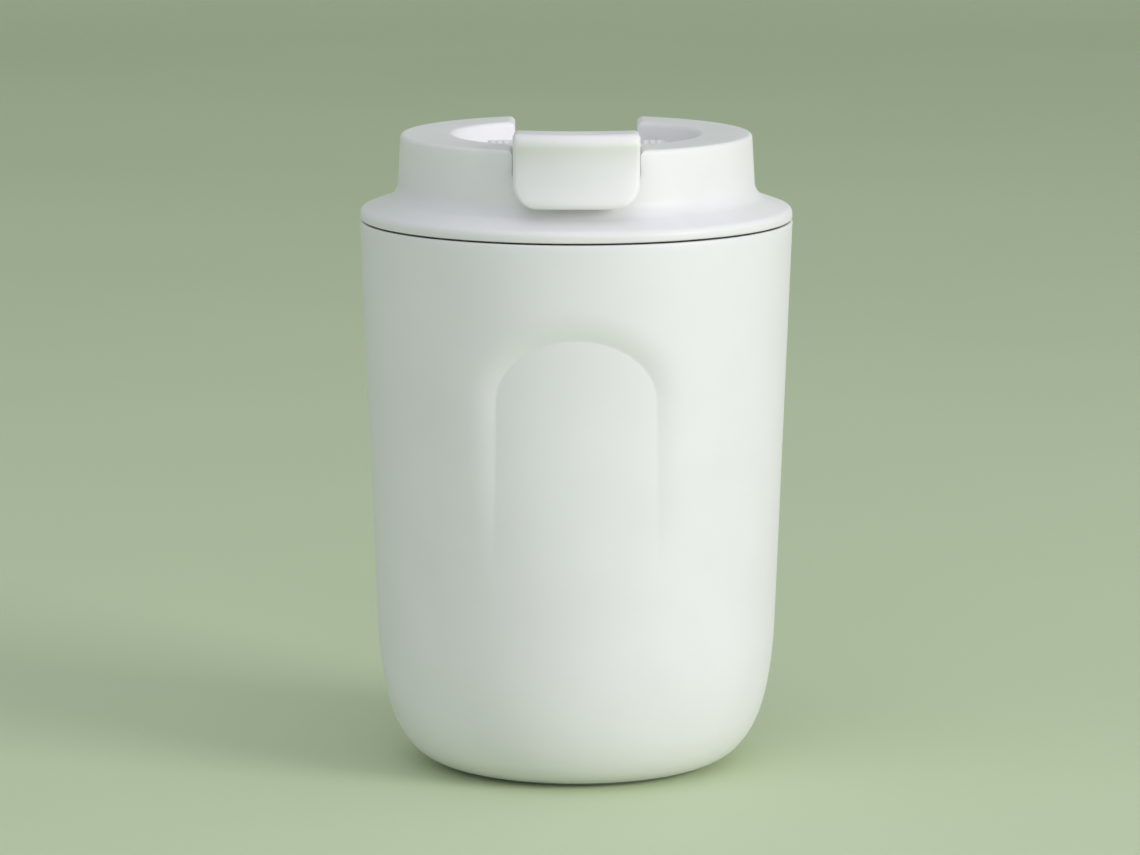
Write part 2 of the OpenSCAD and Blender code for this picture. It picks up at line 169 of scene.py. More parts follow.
def bezier(p0, p1, p2, p3, steps):
    """Points along a cubic curve, both ends included."""
    out = []
    for i in range(steps + 1):
        t = i / steps
        s = 1 - t
        w = (s * s * s, 3 * s * s * t, 3 * s * t * t, t * t * t)
        out.append(tuple(sum(w[k] * p[c] for k, p in enumerate((p0, p1, p2, p3)))
                         for c in range(2)))
    return out


def arc(cx, cy, r, a0, a1, steps):
    """Points on an arc from angle a0 to a1, in degrees."""
    out = []
    for i in range(steps + 1):
        a = math.radians(mix(a0, a1, i / steps))
        out.append((cx + r * math.cos(a), cy + r * math.sin(a)))
    return out


def quad_rows(rows, size, closed):
    """Faces between rows of points that follow each other in the list of points."""
    faces = []
    for k in range(rows - 1):
        for i in range(size if closed else size - 1):
            n = (i + 1) % size
            faces.append((k * size + i, k * size + n, (k + 1) * size + n, (k + 1) * size + i))
    return faces


def smooth(obj, angle):
    """Smooth shading, split where faces meet at more than the angle."""
    mesh = obj.data
    mesh.shade_smooth()
    mesh.set_sharp_from_angle(angle=math.radians(angle))


def make_object(name, verts, faces, angle=35, bridge=False):
    """A mesh object from points in millimetres; bridge joins its two open rims."""
    mesh = bpy.data.meshes.new(name)
    mesh.from_pydata([(x * MM, y * MM, z * MM) for x, y, z in verts], [], faces)
    mesh.validate()
    bm = bmesh.new()
    bm.from_mesh(mesh)
    bmesh.ops.remove_doubles(bm, verts=bm.verts, dist=1e-7)
    if bridge:
        rims = [edge for edge in bm.edges if edge.is_boundary]
        bmesh.ops.bridge_loops(bm, edges=rims)
    bmesh.ops.recalc_face_normals(bm, faces=bm.faces)
    bm.to_mesh(mesh)
    bm.free()
    obj = bpy.data.objects.new(name, mesh)
    bpy.context.scene.collection.objects.link(obj)
    smooth(obj, angle)
    return obj


def bevel(obj, width, segments=3, angle=35):
    """Rounds every edge sharper than the angle."""
    mod = obj.modifiers.new("round_edges", "BEVEL")
    mod.width = width * MM
    mod.segments = segments
    mod.limit_method = "ANGLE"
    mod.angle_limit = math.radians(angle)
    mod.use_clamp_overlap = True
    mod.harden_normals = False


def even_shading(obj):
    """Keeps flat faces flat next to small round ones."""
    mod = obj.modifiers.new("even_shading", "WEIGHTED_NORMAL")
    mod.mode = "FACE_AREA_WITH_ANGLE"
    mod.keep_sharp = False
    mod.weight = 60


# ---------------------------------------------------------------- outer shell

# The front half is a set of rings that follow the groove's arch. A ring's points run up the
# left leg, round the arch and down the right leg.
LEG_STEPS, ARCH_STEPS, CORNER_STEPS, BACK_STEPS = 26, 128, 32, 64
RING_STEPS = 2 * LEG_STEPS + ARCH_STEPS
FLOOR_INSETS = (15.2, 13, 10.5, 8, 5.8, 3.8, 2.2, 1.1, 0.5, 0.2)
WALL_SHARES = (1.0, 0.96, 0.88, 0.78, 0.66, 0.53, 0.4, 0.27, 0.14, 0.0, -0.12)
BORDER_SHARES = (0.02, 0.05, 0.09, 0.14, 0.2, 0.27, 0.35, 0.44, 0.54, 0.65, 0.76, 0.88, 1.0)


def side_r(z):
    return WAIST_R + (z - WAIST_Z) * (LIP_R - WAIST_R) / (LIP_Z - WAIST_Z)


def groove_floor_r(z):
    slope = (side_r(GROOVE_FADE_Z) - GROOVE_FLOOR_R) / (GROOVE_TOP_Z - GROOVE_FADE_Z)
    return GROOVE_FLOOR_R + slope * (GROOVE_TOP_Z - z)


def soft_min(a, b, width):
    """The smaller of two values, with the corner between them rounded off."""
    h = max(width - abs(a - b), 0) / width
    return min(a, b) - h * h * width / 4


def place(angle, r, z):
    """The point at an angle from the front, a radius and a height."""
    return (r * math.sin(angle), -r * math.cos(angle), z)


def foot_curve(inset, steps):
    """The foot's curve from the straight side to the underside, moved inward by inset."""
    slope = (LIP_R - WAIST_R) / (LIP_Z - WAIST_Z)
    length = math.hypot(slope, 1)
    p0 = (WAIST_R - inset, WAIST_Z)
    p1 = (p0[0] - SIDE_PULL * slope / length, p0[1] - SIDE_PULL / length)
    p3 = (FOOT_R + FOOT_EDGE + inset / 2, FOOT_Z + inset)
    p2 = (p3[0] + FOOT_PULL * math.cos(FOOT_ANGLE), p3[1] + FOOT_PULL * math.sin(FOOT_ANGLE))
    return bezier(p0, p1, p2, p3, steps)


def foot_profile():
    """Outline from the side round the foot, over the collar and back up inside the wall."""
    points = foot_curve(0, 34)
    points += arc(FOOT_R + FOOT_EDGE, FOOT_Z + FOOT_EDGE, FOOT_EDGE, 270, 180, 4)[1:]
    points += [(FOOT_R, COLLAR_TOP_Z - COLLAR_CHAMFER), (FOOT_R + COLLAR_CHAMFER, COLLAR_TOP_Z),
               (FOOT_R + STEEL_T, COLLAR_TOP_Z)]
    points += foot_curve(STEEL_T, 12)[::-1]
    points.append((GROOVE_FLOOR_R - STEEL_T, INNER_NARROW_Z))
    return points


def lip_profile():
    """Outline from the side over the rounded lip and down inside the wall."""
    points = arc(LIP_R - LIP_ROUND - LIP_DRAW, LIP_Z - LIP_ROUND, LIP_ROUND, 0, 90, 6)
    points += [(LIP_R - LIP_T + LIP_CHAMFER, LIP_Z), (LIP_R - LIP_T, LIP_Z - LIP_CHAMFER),
               (LIP_R - LIP_T, INNER_WIDE_Z)]
    return points


def leg_z(k):
    return mix(GROOVE_LOW_Z, GROOVE_SPRING_Z, k / LEG_STEPS)


def arch_point(i, grow):
    """Point i on the groove's arch, grown outward by grow, as (x, z)."""
    half = GROOVE_HALF + grow
    if i <= LEG_STEPS:
        return (-half, leg_z(i))
    if i >= LEG_STEPS + ARCH_STEPS:
        return (half, leg_z(RING_STEPS - i))
    a = math.pi * (1 - (i - LEG_STEPS) / ARCH_STEPS)
    rise = GROOVE_TOP_Z - GROOVE_SPRING_Z
    rise = rise + grow if grow >= 0 else rise * half / GROOVE_HALF
    return (half * math.cos(a), GROOVE_SPRING_Z + rise * math.sin(a))


def border_point(i):
    """Point i on the border of the front half, as (angle, z)."""
    k = min(i, RING_STEPS - i)
    side = -1 if i <= RING_STEPS / 2 else 1
    if k <= LEG_STEPS:
        return (side * math.pi / 2, leg_z(k))
    if k <= LEG_STEPS + CORNER_STEPS:
        t = (k - LEG_STEPS) / CORNER_STEPS
        return (side * math.pi / 2, mix(GROOVE_SPRING_Z, SIDE_TOP_Z, t))
    first = LEG_STEPS + CORNER_STEPS
    t = (i - first) / (RING_STEPS - 2 * first)
    return (mix(-math.pi / 2, math.pi / 2, t), SIDE_TOP_Z)


def groove_floor_rings():
    """Rings over the groove's floor, from the middle outward."""
    rings = []
    for inset in FLOOR_INSETS:
        ring = []
        for i in range(RING_STEPS + 1):
            x, z = arch_point(i, -inset)
            r = soft_min(side_r(z), groove_floor_r(z), GROOVE_SOFT)
            ring.append(place(math.asin(x / side_r(z)), r, z))
        rings.append(ring)
    return rings


def groove_wall_ring(k, share):
    """Ring k on the wall that rolls over into the side, and where its points are on the side."""
    ring, edge = [], []
    for i in range(RING_STEPS + 1):
        z_in = arch_point(i, 0)[1]
        depth = max(side_r(z_in) - groove_floor_r(z_in), 0)
        width = math.sqrt(max(2 * GROOVE_BLEND_R * depth - depth * depth, 0))
        spacing = mix(0.25, 0.12, min(depth, 1)) * k
        x, z = arch_point(i, width * (1 - share) + spacing)
        s = width * max(share, 0)
        sink = GROOVE_BLEND_R - math.sqrt(GROOVE_BLEND_R ** 2 - s * s)
        angle = math.asin(x / side_r(z))
        ring.append(place(angle, side_r(z) - sink, z))
        edge.append((angle, z))
    return ring, edge


def border_ring(edge, t):
    """Ring a share t of the way from the groove's edge to the border of the front half."""
    ring = []
    for i in range(RING_STEPS + 1):
        a0, z0 = edge[i]
        a1, z1 = border_point(i)
        z = mix(z0, z1, t)
        ring.append(place(mix(a0, a1, t), side_r(z), z))
    return ring


def build_shell():
    """The powder-coated outer wall, with its mesh lines running round the groove's arch."""
    rings = groove_floor_rings()
    for k, share in enumerate(WALL_SHARES):
        ring, edge = groove_wall_ring(k, share)
        rings.append(ring)
    rings += [border_ring(edge, t) for t in BORDER_SHARES]
    verts = [p for ring in rings for p in ring]
    stride = RING_STEPS + 1

    def ring_id(k, i):
        return k * stride + i

    faces = quad_rows(len(rings), stride, False)
    middle = RING_STEPS // 2
    faces += [(ring_id(0, i), ring_id(0, RING_STEPS - i), ring_id(0, RING_STEPS - i - 1),
               ring_id(0, i + 1)) for i in range(middle - 1)]
    faces.append((ring_id(0, middle - 1), ring_id(0, middle + 1), ring_id(0, middle)))

    # The back half, in rows that meet the border's points.
    last = len(rings) - 1
    rows = LEG_STEPS + CORNER_STEPS
    back = []
    for i in range(rows + 1):
        z = border_point(i)[1]
        row = [ring_id(last, RING_STEPS - i)]
        for j in range(1, BACK_STEPS):
            row.append(len(verts))
            verts.append(place(mix(math.pi / 2, 3 * math.pi / 2, j / BACK_STEPS), side_r(z), z))
        row.append(ring_id(last, i))
        back.append(row)
    for a, b in zip(back, back[1:]):
        faces += [(a[j], a[j + 1], b[j + 1], b[j]) for j in range(BACK_STEPS)]

    def sweep_on(start, profile):
        """Rows round the whole mug that carry on from the points in start."""
        angles = [math.atan2(verts[v][0], -verts[v][1]) for v in start]
        row = start
        for r, z in profile:
            fresh = list(range(len(verts), len(verts) + len(start)))
            verts.extend(place(a, r, z) for a in angles)
            for j in range(len(start)):
                n = (j + 1) % len(start)
                faces.append((row[j], row[n], fresh[n], fresh[j]))
            row = fresh

    low = [ring_id(k, 0) for k in range(last, -1, -1)]
    low += [ring_id(k, RING_STEPS) for k in range(last)] + back[0][:-1]
    sweep_on(low, [(side_r(z), z) for z in SIDE_ROWS_Z] + foot_profile())
    high = [ring_id(last, i) for i in range(rows, RING_STEPS - rows)] + back[-1][:-1]
    sweep_on(high, lip_profile())

    shell = make_object("shell_coated", verts, faces, 50, True)
    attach(shell, "cup")
    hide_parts("outer_shell")
    return shell


# ---------------------------------------------------------------- lid cover

def revolve(name, outline, steps=224):
    """Solid of revolution of an outline of (radius, height) that starts and ends on the axis."""
    verts = [(0, 0, outline[0][1])]
    faces = []
    rings = []
    for r, z in outline[1:-1]:
        rings.append(len(verts))
        for j in range(steps):
            a = 2 * math.pi * (j + 0.5) / steps
            verts.append((r * math.cos(a), r * math.sin(a), z))
    verts.append((0, 0, outline[-1][1]))
    for j in range(steps):
        n = (j + 1) % steps
        faces.append((0, rings[0] + j, rings[0] + n))
        faces.append((len(verts) - 1, rings[-1] + n, rings[-1] + j))
        faces += [(a + j, b + j, b + n, a + n) for a, b in zip(rings, rings[1:])]
    return make_object(name, verts, faces)


def prism(name, outline, axis, low, high):
    """Solid of an outline drawn out along an axis: 0 takes (y, z) points and 2 takes (x, y)."""
    def point(p, t):
        return (t, *p) if axis == 0 else (*p, t)
    n = len(outline)
    verts = [point(p, low) for p in outline] + [point(p, high) for p in outline]
    faces = [tuple(range(n)), tuple(range(n, 2 * n))] + quad_rows(2, n, True)
    return make_object(name, verts, faces)


def box(name, x, y, z):
    return prism(name, [(x[0], y[0]), (x[1], y[0]), (x[1], y[1]), (x[0], y[1])], 2, *z)


def combine(obj, other, operation):
    """Cuts or joins a solid with another one, which is then removed."""
    mod = obj.modifiers.new("combine", "BOOLEAN")
    mod.operation = operation
    mod.solver = "EXACT"
    mod.object = other
    graph = bpy.context.evaluated_depsgraph_get()
    mesh = bpy.data.meshes.new_from_object(obj.evaluated_get(graph))
    obj.modifiers.clear()
    obj.data = mesh
    bpy.data.objects.remove(other, do_unlink=True)


def cover_outline():
    """Outline of the cover, from the recess over the drum and the flange to its underside.

    A support point close to each round edge keeps the shading of the flat beside it flat.
    """
    near = 0.08
    slope = math.radians(FLANGE_SLOPE)
    edge = (FLANGE_R - FLANGE_EDGE_R, FLANGE_EDGE_Z - FLANGE_EDGE_R)
    meet_x = edge[0] + FLANGE_EDGE_R * math.sin(slope)
    meet_z = edge[1] + FLANGE_EDGE_R * math.cos(slope)
    fillet_x = DRUM_R + DRUM_FILLET_R
    run_in = meet_x - fillet_x + DRUM_FILLET_R * math.sin(slope)
    fillet_z = meet_z + run_in * math.tan(slope) + DRUM_FILLET_R * math.cos(slope)
    floor_r = RECESS_R - RECESS_FILLET_R
    wall_low_z = RECESS_Z + RECESS_FILLET_R
    wall_high_z = DRUM_Z - RECESS_EDGE_R
    drum_top_r = DRUM_R - DRUM_DRAFT - DRUM_EDGE_R
    points = [(0, RECESS_Z), (4, RECESS_Z), (floor_r - near, RECESS_Z)]
    points += arc(floor_r, wall_low_z, RECESS_FILLET_R, -90, 0, 6)
    points += [(RECESS_R, wall_low_z + near), (RECESS_R, wall_high_z - near)]
    points += arc(RECESS_R + RECESS_EDGE_R, wall_high_z, RECESS_EDGE_R, 180, 90, 9)
    points += [(RECESS_R + RECESS_EDGE_R + near, DRUM_Z), (drum_top_r - near, DRUM_Z)]
    points += arc(drum_top_r, DRUM_Z - DRUM_EDGE_R, DRUM_EDGE_R, 90, 0, 12)
    points += [(DRUM_R - DRUM_DRAFT, DRUM_Z - DRUM_EDGE_R - near), (DRUM_R, fillet_z + near)]
    points += arc(fillet_x, fillet_z, DRUM_FILLET_R, 180, 270 - FLANGE_SLOPE, 18)
    points += arc(edge[0], edge[1], FLANGE_EDGE_R, 90 - FLANGE_SLOPE, 0, 10)
    points += arc(FLANGE_R - FLANGE_UNDER_R, FLANGE_Z + FLANGE_UNDER_R, FLANGE_UNDER_R, 0, -90, 4)
    points += [(FLANGE_R - FLANGE_UNDER_R - 0.1, FLANGE_Z), (CAVITY_R, FLANGE_Z),
               (CAVITY_R, ROOF_Z), (0, ROOF_Z)]
    return points


def channel_cutter():
    """The straight channel across the drum: round top edges, and a floor that falls outward."""
    far, high = 48.0, 132.0
    far_z = CHANNEL_Z - CHANNEL_FALL * (far - CHANNEL_BEND_Y)
    stations = ((-far, far_z), (-CHANNEL_BEND_Y, CHANNEL_Z), (CHANNEL_BEND_Y, CHANNEL_Z),
                (far, far_z))
    round_z = DRUM_Z - CHANNEL_ROUND
    outer = CHANNEL_HALF + CHANNEL_ROUND
    right = [(CHANNEL_HALF, round_z - 0.1)] + arc(outer, round_z, CHANNEL_ROUND, 180, 90, 8)
    verts = []
    for y, floor_z in stations:
        section = [(-CHANNEL_HALF, floor_z), (CHANNEL_HALF, floor_z)] + right
        section += [(outer, high), (-outer, high)] + [(-x, z) for x, z in right[::-1]]
        verts += [(x, y, z) for x, z in section]
    n = len(verts) // len(stations)
    faces = quad_rows(len(stations), n, True)
    faces += [tuple(range(n)), tuple(range(len(verts) - n, len(verts)))]
    return make_object("channel_cutter", verts, faces)


def round_outline(cx, cy, r, spread_by=0.0, steps=28):
    """A circle, or a slot with round ends when its two centres are spread apart."""
    right = arc(cx + spread_by, cy, r, -90, 90, steps)
    left = arc(cx - spread_by, cy, r, 90, 270, steps)
    return right + left if spread_by else right + left[1:-1]


def hinge_pocket(side):
    """The shallow pocket that a hinge cap sits in."""
    x = sorted((side * (CHANNEL_HALF - 1), side * (CAP_END_X + CAP_GAP)))
    y = (-CAP_HALF - CAP_GAP, CAP_HALF + CAP_GAP)
    return box("cap_pocket", x, y, (RECESS_Z - CAP_SUNK, RECESS_Z + 3))


def build_cover():
    """The moulded lid: flange, drum, recess, channel, hinge pit, sip hole and vent."""
    cover = revolve("cover_moulded", cover_outline())
    below, above = FLANGE_Z - 2, DRUM_Z + 4
    wall_half = CHANNEL_HALF + PIT_WALL_T
    walls = box("pit_walls", (-wall_half, wall_half),
                (PIT_FRONT_Y - PIT_WALL_T, PIT_BACK_Y + PIT_WALL_T), (PIT_Z - PIT_WALL_T, ROOF_Z + 1))
    combine(cover, walls, "UNION")
    cutters = (
        channel_cutter(),
        box("pit", (-CHANNEL_HALF, CHANNEL_HALF), (PIT_FRONT_Y, PIT_BACK_Y), (PIT_Z, DRUM_Z)),
        prism("sip", round_outline(0, SIP_Y, SIP_R, SIP_SPREAD), 2, below, above),
        prism("vent", round_outline(0, VENT_Y, VENT_R), 2, below, above),
        prism("bore", round_outline(0, PIVOT_Z, PIN_BORE_R), 0, -PIN_BORE_HALF, PIN_BORE_HALF),
        hinge_pocket(-1),
        hinge_pocket(1),
        box("seat", (-PIN_BORE_HALF, PIN_BORE_HALF), (-PIN_BORE_R, PIN_BORE_R),
            (PIVOT_Z, PIVOT_Z + 5)),
    )
    for cutter in cutters:
        combine(cover, cutter, "DIFFERENCE")
    smooth(cover, 35)
    bevel(cover, 0.2)
    even_shading(cover)
    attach(cover, "lid")
    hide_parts("lid_cover")
    return cover


# ---------------------------------------------------------------- lever

def crest_sections():
    """Stations over the crest, closer together where the arm turns level."""
    out = []
    for x, drop in ((-0.5, 0.24), (0.1, 0.1), (0.7, 0.03), (1.3, 0.0), (2.1, 0.0), (2.9, 0.0),
                    (3.7, 0.0), (4.5, 0.0), (5.3, 0.0), (6.0, 0.0), (6.5, 0.0)):
        top = (CREST_FROM + x, CREST_Z - drop)
        low = (min(CREST_FROM + x + 0.3, BEND_DIST - 0.9), CREST_Z - drop - LEVER_T)
        out.append((top, low, LEVER_HALF, min(0.5 + x / 4, 1.0)))
    return out


def tab_half(z):
    """Half the tab's width at a height, less where its lower corners are round."""
    rest = max(TAB_CORNER - (z - TAB_Z), 0)
    return TAB_HALF - (TAB_CORNER - math.sqrt(max(TAB_CORNER ** 2 - rest ** 2, 0)))


def lever_sections():
    """Stations along the lever from the hinge to the tab's tip.

    Each is the top point and the bottom point as (distance in front of the axis, height),
    the half width, and the share by which the section is bent round the lid's axis.
    """
    arm_steps, bend_steps, tab_steps = 12, 10, 18
    bend_from = 24
    out = []
    for k in range(arm_steps + 1):
        t = k / arm_steps
        x = mix(0.0, CREST_FROM - 1.2, t)
        z = mix(PIVOT_Z + ARM_TOP_RISE, CREST_Z - 0.38, t)
        bend = 0.5 * max(x - bend_from, 0) / (CREST_FROM - bend_from)
        out.append(((x, z), (x + 0.45, z - LEVER_T + 0.1), LEVER_HALF, bend))
    out += crest_sections()
    for k in range(1, bend_steps + 1):
        a = math.radians(mix(90, BEND_END_ANGLE, k / bend_steps))
        top = (BEND_DIST + BEND_R * math.cos(a), BEND_Z + BEND_R * math.sin(a))
        low = (BEND_DIST - 1.3 + BEND_INNER_R * math.cos(a), BEND_Z - 1.3 + BEND_INNER_R * math.sin(a))
        out.append((top, low, TAB_HALF, 1.0))
    nose = BEND_DIST + BEND_R
    front = bezier((nose - 0.36, BEND_Z - 1.15), (nose - 1.65, BEND_Z - 3.3),
                   (nose - 0.9, BEND_Z - 8.4), (TAB_TIP_R, TAB_Z + 0.6), tab_steps)
    back = bezier((BEND_DIST - 0.95, BEND_Z - 2.3), (BEND_DIST - 1.2, BEND_Z - 4.6),
                  (BEND_DIST - 0.8, BEND_Z - 8.4), (TAB_TIP_R - 1.7, TAB_Z + 0.7), tab_steps)
    for top, low in list(zip(front, back))[:-1]:
        out.append((top, low, tab_half(top[1]), 1.0))
    return out


def section_ring(top, bottom, half, bend):
    """Points round one section of the lever, a rectangle with round corners."""
    flat_steps, round_steps = 14, 5
    thick = math.dist(top, bottom)
    r = min(LEVER_EDGE_R, thick * 0.49)
    ring = []
    for sx, sy, start in ((1, 1, 0), (-1, 1, 90), (-1, -1, 180), (1, -1, 270)):
        cx, cy = sx * (half - r), sy * (thick / 2 - r)
        for k in range(round_steps + 1):
            a = math.radians(start + 90 * k / round_steps)
            ring.append((cx + r * math.cos(a), cy + r * math.sin(a)))
        if sx == sy:
            ring += [(mix(cx, -cx, k / flat_steps), sy * thick / 2) for k in range(1, flat_steps)]
    out = []
    ux, uz = (top[0] - bottom[0]) / thick, (top[1] - bottom[1]) / thick
    mx, mz = (top[0] + bottom[0]) / 2, (top[1] + bottom[1]) / 2
    for x, h in ring:
        dist, z = mx + ux * h, mz + uz * h
        curved = math.sqrt(max(dist * dist - x * x, 0)) if dist > abs(x) else 0
        dist = mix(dist, curved, bend)
        if h > 0:
            across = math.exp(-(x / DISH_WIDTH) ** 2)
            z -= DISH_DEPTH * across * math.exp(-((dist - DISH_DIST) / DISH_LENGTH) ** 2)
        out.append((x, -dist, z))
    return out


def tip_rings(last_station):
    """Shrinking sections that round off the tab's tip."""
    steps, lean = 6, 0.1
    tip_top, tip_bottom, tip_half, _ = last_station
    mid = ((tip_top[0] + tip_bottom[0]) / 2, (tip_top[1] + tip_bottom[1]) / 2)
    rings = []
    for k in range(1, steps):
        a = math.radians(90 * k / steps)
        centre = (mid[0] + lean * k / steps, mid[1] - (mid[1] - TAB_Z) * math.sin(a))
        top, bottom = [(centre[0] + (end[0] - mid[0]) * math.cos(a),
                        centre[1] + (end[1] - mid[1]) * math.cos(a))
                       for end in (tip_top, tip_bottom)]
        rings.append(section_ring(top, bottom, min(tab_half(centre[1]), tip_half), 1.0))
    return rings


def lever_boss():
    """Round boss that the pin runs through, with its bore."""
    steps = 48
    edge_x, edge_r = LEVER_HALF - BOSS_EDGE_R, BOSS_R - BOSS_EDGE_R
    profile = [(-LEVER_HALF, BOSS_BORE_R)]
    profile += arc(-edge_x, edge_r, BOSS_EDGE_R, 180, 90, 4)
    profile += arc(edge_x, edge_r, BOSS_EDGE_R, 90, 0, 4)
    profile += [(LEVER_HALF, BOSS_BORE_R)]
    profile += profile[:1]
    verts = []
    for x, r in profile:
        for j in range(steps):
            a = 2 * math.pi * j / steps
            verts.append((x, r * math.cos(a), PIVOT_Z + r * math.sin(a)))
    return make_object("lever_boss", verts, quad_rows(len(profile), steps, True), 40)


def lever_skirt(side):
    """Thin wall under one edge of the lever."""
    outline = [(-12.6, SKIRT_LOW_Z + 1.9), (-13.2, SKIRT_LOW_Z + 0.5), (-14.2, SKIRT_LOW_Z),
               (SKIRT_FRONT_Y + 0.6, SKIRT_LOW_Z), (SKIRT_FRONT_Y, SKIRT_LOW_Z + 0.6),
               (SKIRT_FRONT_Y, SKIRT_TOP_Z), (-CREST_FROM, SKIRT_TOP_Z)]
    skirt = prism("lever_skirt", outline, 0, side * (LEVER_HALF - 0.02),
                  side * (LEVER_HALF - SKIRT_T))
    bevel(skirt, 0.3)
    return skirt


def join(parts, name):
    """One object out of several, with their modifiers applied."""
    graph = bpy.context.evaluated_depsgraph_get()
    bm = bmesh.new()
    for part in parts:
        mesh = bpy.data.meshes.new_from_object(part.evaluated_get(graph))
        bm.from_mesh(mesh)
        bpy.data.meshes.remove(mesh)
    mesh = bpy.data.meshes.new(name)
    bm.to_mesh(mesh)
    bm.free()
    for part in parts:
        bpy.data.objects.remove(part, do_unlink=True)
    obj = bpy.data.objects.new(name, mesh)
    bpy.context.scene.collection.objects.link(obj)
    smooth(obj, 40)
    return obj


def build_lever():
    """The flip lever: a bent strip with round edges, its side skirts and hinge boss."""
    stations = lever_sections()
    rings = [section_ring(*s) for s in stations] + tip_rings(stations[-1])
    verts = [p for ring in rings for p in ring]
    size = len(rings[0])
    faces = quad_rows(len(rings), size, True)
    faces += [tuple(range(size)), tuple(range(len(verts) - size, len(verts)))]
    strip = make_object("lever_strip", verts, faces, 60)
    lever = join([strip, lever_boss(), lever_skirt(-1), lever_skirt(1)], "lever_moulded")
    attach(lever, "lever")
    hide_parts("lever")
    return lever


# ---------------------------------------------------------------- material helpers

# Most of a noise lies between these two levels.
MIDDLE = (0.3, 0.7)


def new_material(name, color, roughness, metallic=0.0):
    """A node material with a Principled shader; returns it with its handles."""
    mat = bpy.data.materials.new(name)
    mat.use_nodes = True
    tree = mat.node_tree
    shader = tree.nodes["Principled BSDF"]
    shader.inputs["Base Color"].default_value = (*color, 1)
    shader.inputs["Roughness"].default_value = roughness
    shader.inputs["Metallic"].default_value = metallic
    coords = tree.nodes.new("ShaderNodeTexCoord")
    return mat, tree, shader, coords.outputs["Object"]


def noise(tree, coords, scale, detail=3.0, roughness=0.5):
    node = tree.nodes.new("ShaderNodeTexNoise")
    node.inputs["Scale"].default_value = scale
    node.inputs["Detail"].default_value = detail
    node.inputs["Roughness"].default_value = roughness
    tree.links.new(coords, node.inputs["Vector"])
    return node.outputs["Fac"]


def ramp(tree, value, levels, low_color, high_color):
    """Maps a value between two levels onto two colours."""
    node = tree.nodes.new("ShaderNodeValToRGB")
    elements = node.color_ramp.elements
    for element, level, color in zip(elements, levels, (low_color, high_color)):
        element.position = level
        element.color = (*color, 1)
    tree.links.new(value, node.inputs["Fac"])
    return node.outputs["Color"]


def spread(tree, value, levels, results):
    """Maps a value between two levels onto two numbers."""
    node = tree.nodes.new("ShaderNodeMapRange")
    for key, number in zip(("From Min", "From Max", "To Min", "To Max"), (*levels, *results)):
        node.inputs[key].default_value = number
    tree.links.new(value, node.inputs["Value"])
    return node.outputs["Result"]


def bump(tree, shader, height, distance, strength=1.0, under=None):
    """Adds a bump of the given depth in millimetres; returns its normal for the next one."""
    node = tree.nodes.new("ShaderNodeBump")
    node.inputs["Distance"].default_value = distance * MM
    node.inputs["Strength"].default_value = strength
    tree.links.new(height, node.inputs["Height"])
    if under is not None:
        tree.links.new(under, node.inputs["Normal"])
    tree.links.new(node.outputs["Normal"], shader.inputs["Normal"])
    return node.outputs["Normal"]


def compare(tree, value, operation, limit):
    node = tree.nodes.new("ShaderNodeMath")
    node.operation = operation
    node.inputs[1].default_value = limit
    tree.links.new(value, node.inputs[0])
    return node.outputs[0]


def specks(tree, coords, scale, size):
    """Sparse tiny round specks: 1 inside a speck and 0 elsewhere."""
    cells = tree.nodes.new("ShaderNodeTexVoronoi")
    cells.inputs["Scale"].default_value = scale
    tree.links.new(coords, cells.inputs["Vector"])
    pick = tree.nodes.new("ShaderNodeSeparateColor")
    tree.links.new(cells.outputs["Color"], pick.inputs["Color"])
    chosen = compare(tree, pick.outputs["Red"], "GREATER_THAN", 0.86)
    near = compare(tree, cells.outputs["Distance"], "LESS_THAN", size)
    both = tree.nodes.new("ShaderNodeMath")
    both.operation = "MULTIPLY"
    tree.links.new(chosen, both.inputs[0])
    tree.links.new(near, both.inputs[1])
    return both.outputs[0]


def blend_color(tree, factor, a, b):
    """Goes from the colour socket a to the plain colour b by a factor socket."""
    socket_a, socket_b, result = 6, 7, 2
    node = tree.nodes.new("ShaderNodeMix")
    node.data_type = "RGBA"
    tree.links.new(factor, node.inputs["Factor"])
    tree.links.new(a, node.inputs[socket_a])
    node.inputs[socket_b].default_value = (*b, 1)
    return node.outputs[result]


def stretched(tree, coords, scale):
    """Coordinates scaled by a different amount along each axis."""
    node = tree.nodes.new("ShaderNodeMapping")
    node.inputs["Scale"].default_value = scale
    tree.links.new(coords, node.inputs["Vector"])
    return node.outputs["Vector"]


def darker(color, share):
    return tuple(share * c for c in color)


# ---------------------------------------------------------------- materials

def powder_coat():
    """White powder coat on steel: fine orange peel, satin, with a few specks of dust."""
    mat, tree, shader, coords = new_material("powder_coat_white", (0.83, 0.83, 0.83), 0.5)
    cloudy = noise(tree, coords, scale=60)
    tint = ramp(tree, cloudy, (0.35, 0.65), (0.822, 0.82, 0.818), (0.842, 0.84, 0.838))
    dust = specks(tree, coords, scale=95, size=0.02)
    dusty = blend_color(tree, dust, tint, (0.34, 0.34, 0.33))
    tree.links.new(dusty, shader.inputs["Base Color"])
    satin = spread(tree, noise(tree, coords, scale=900), MIDDLE, (0.42, 0.52))
    tree.links.new(satin, shader.inputs["Roughness"])
    peel = bump(tree, shader, noise(tree, coords, 1500, detail=2), distance=0.02, strength=0.5)
    fine = noise(tree, coords, 5000, detail=2)
    bump(tree, shader, fine, distance=0.006, strength=0.5, under=peel)
    shader.inputs["Coat Weight"].default_value = 0.08
    shader.inputs["Coat Roughness"].default_value = 0.35
    return mat


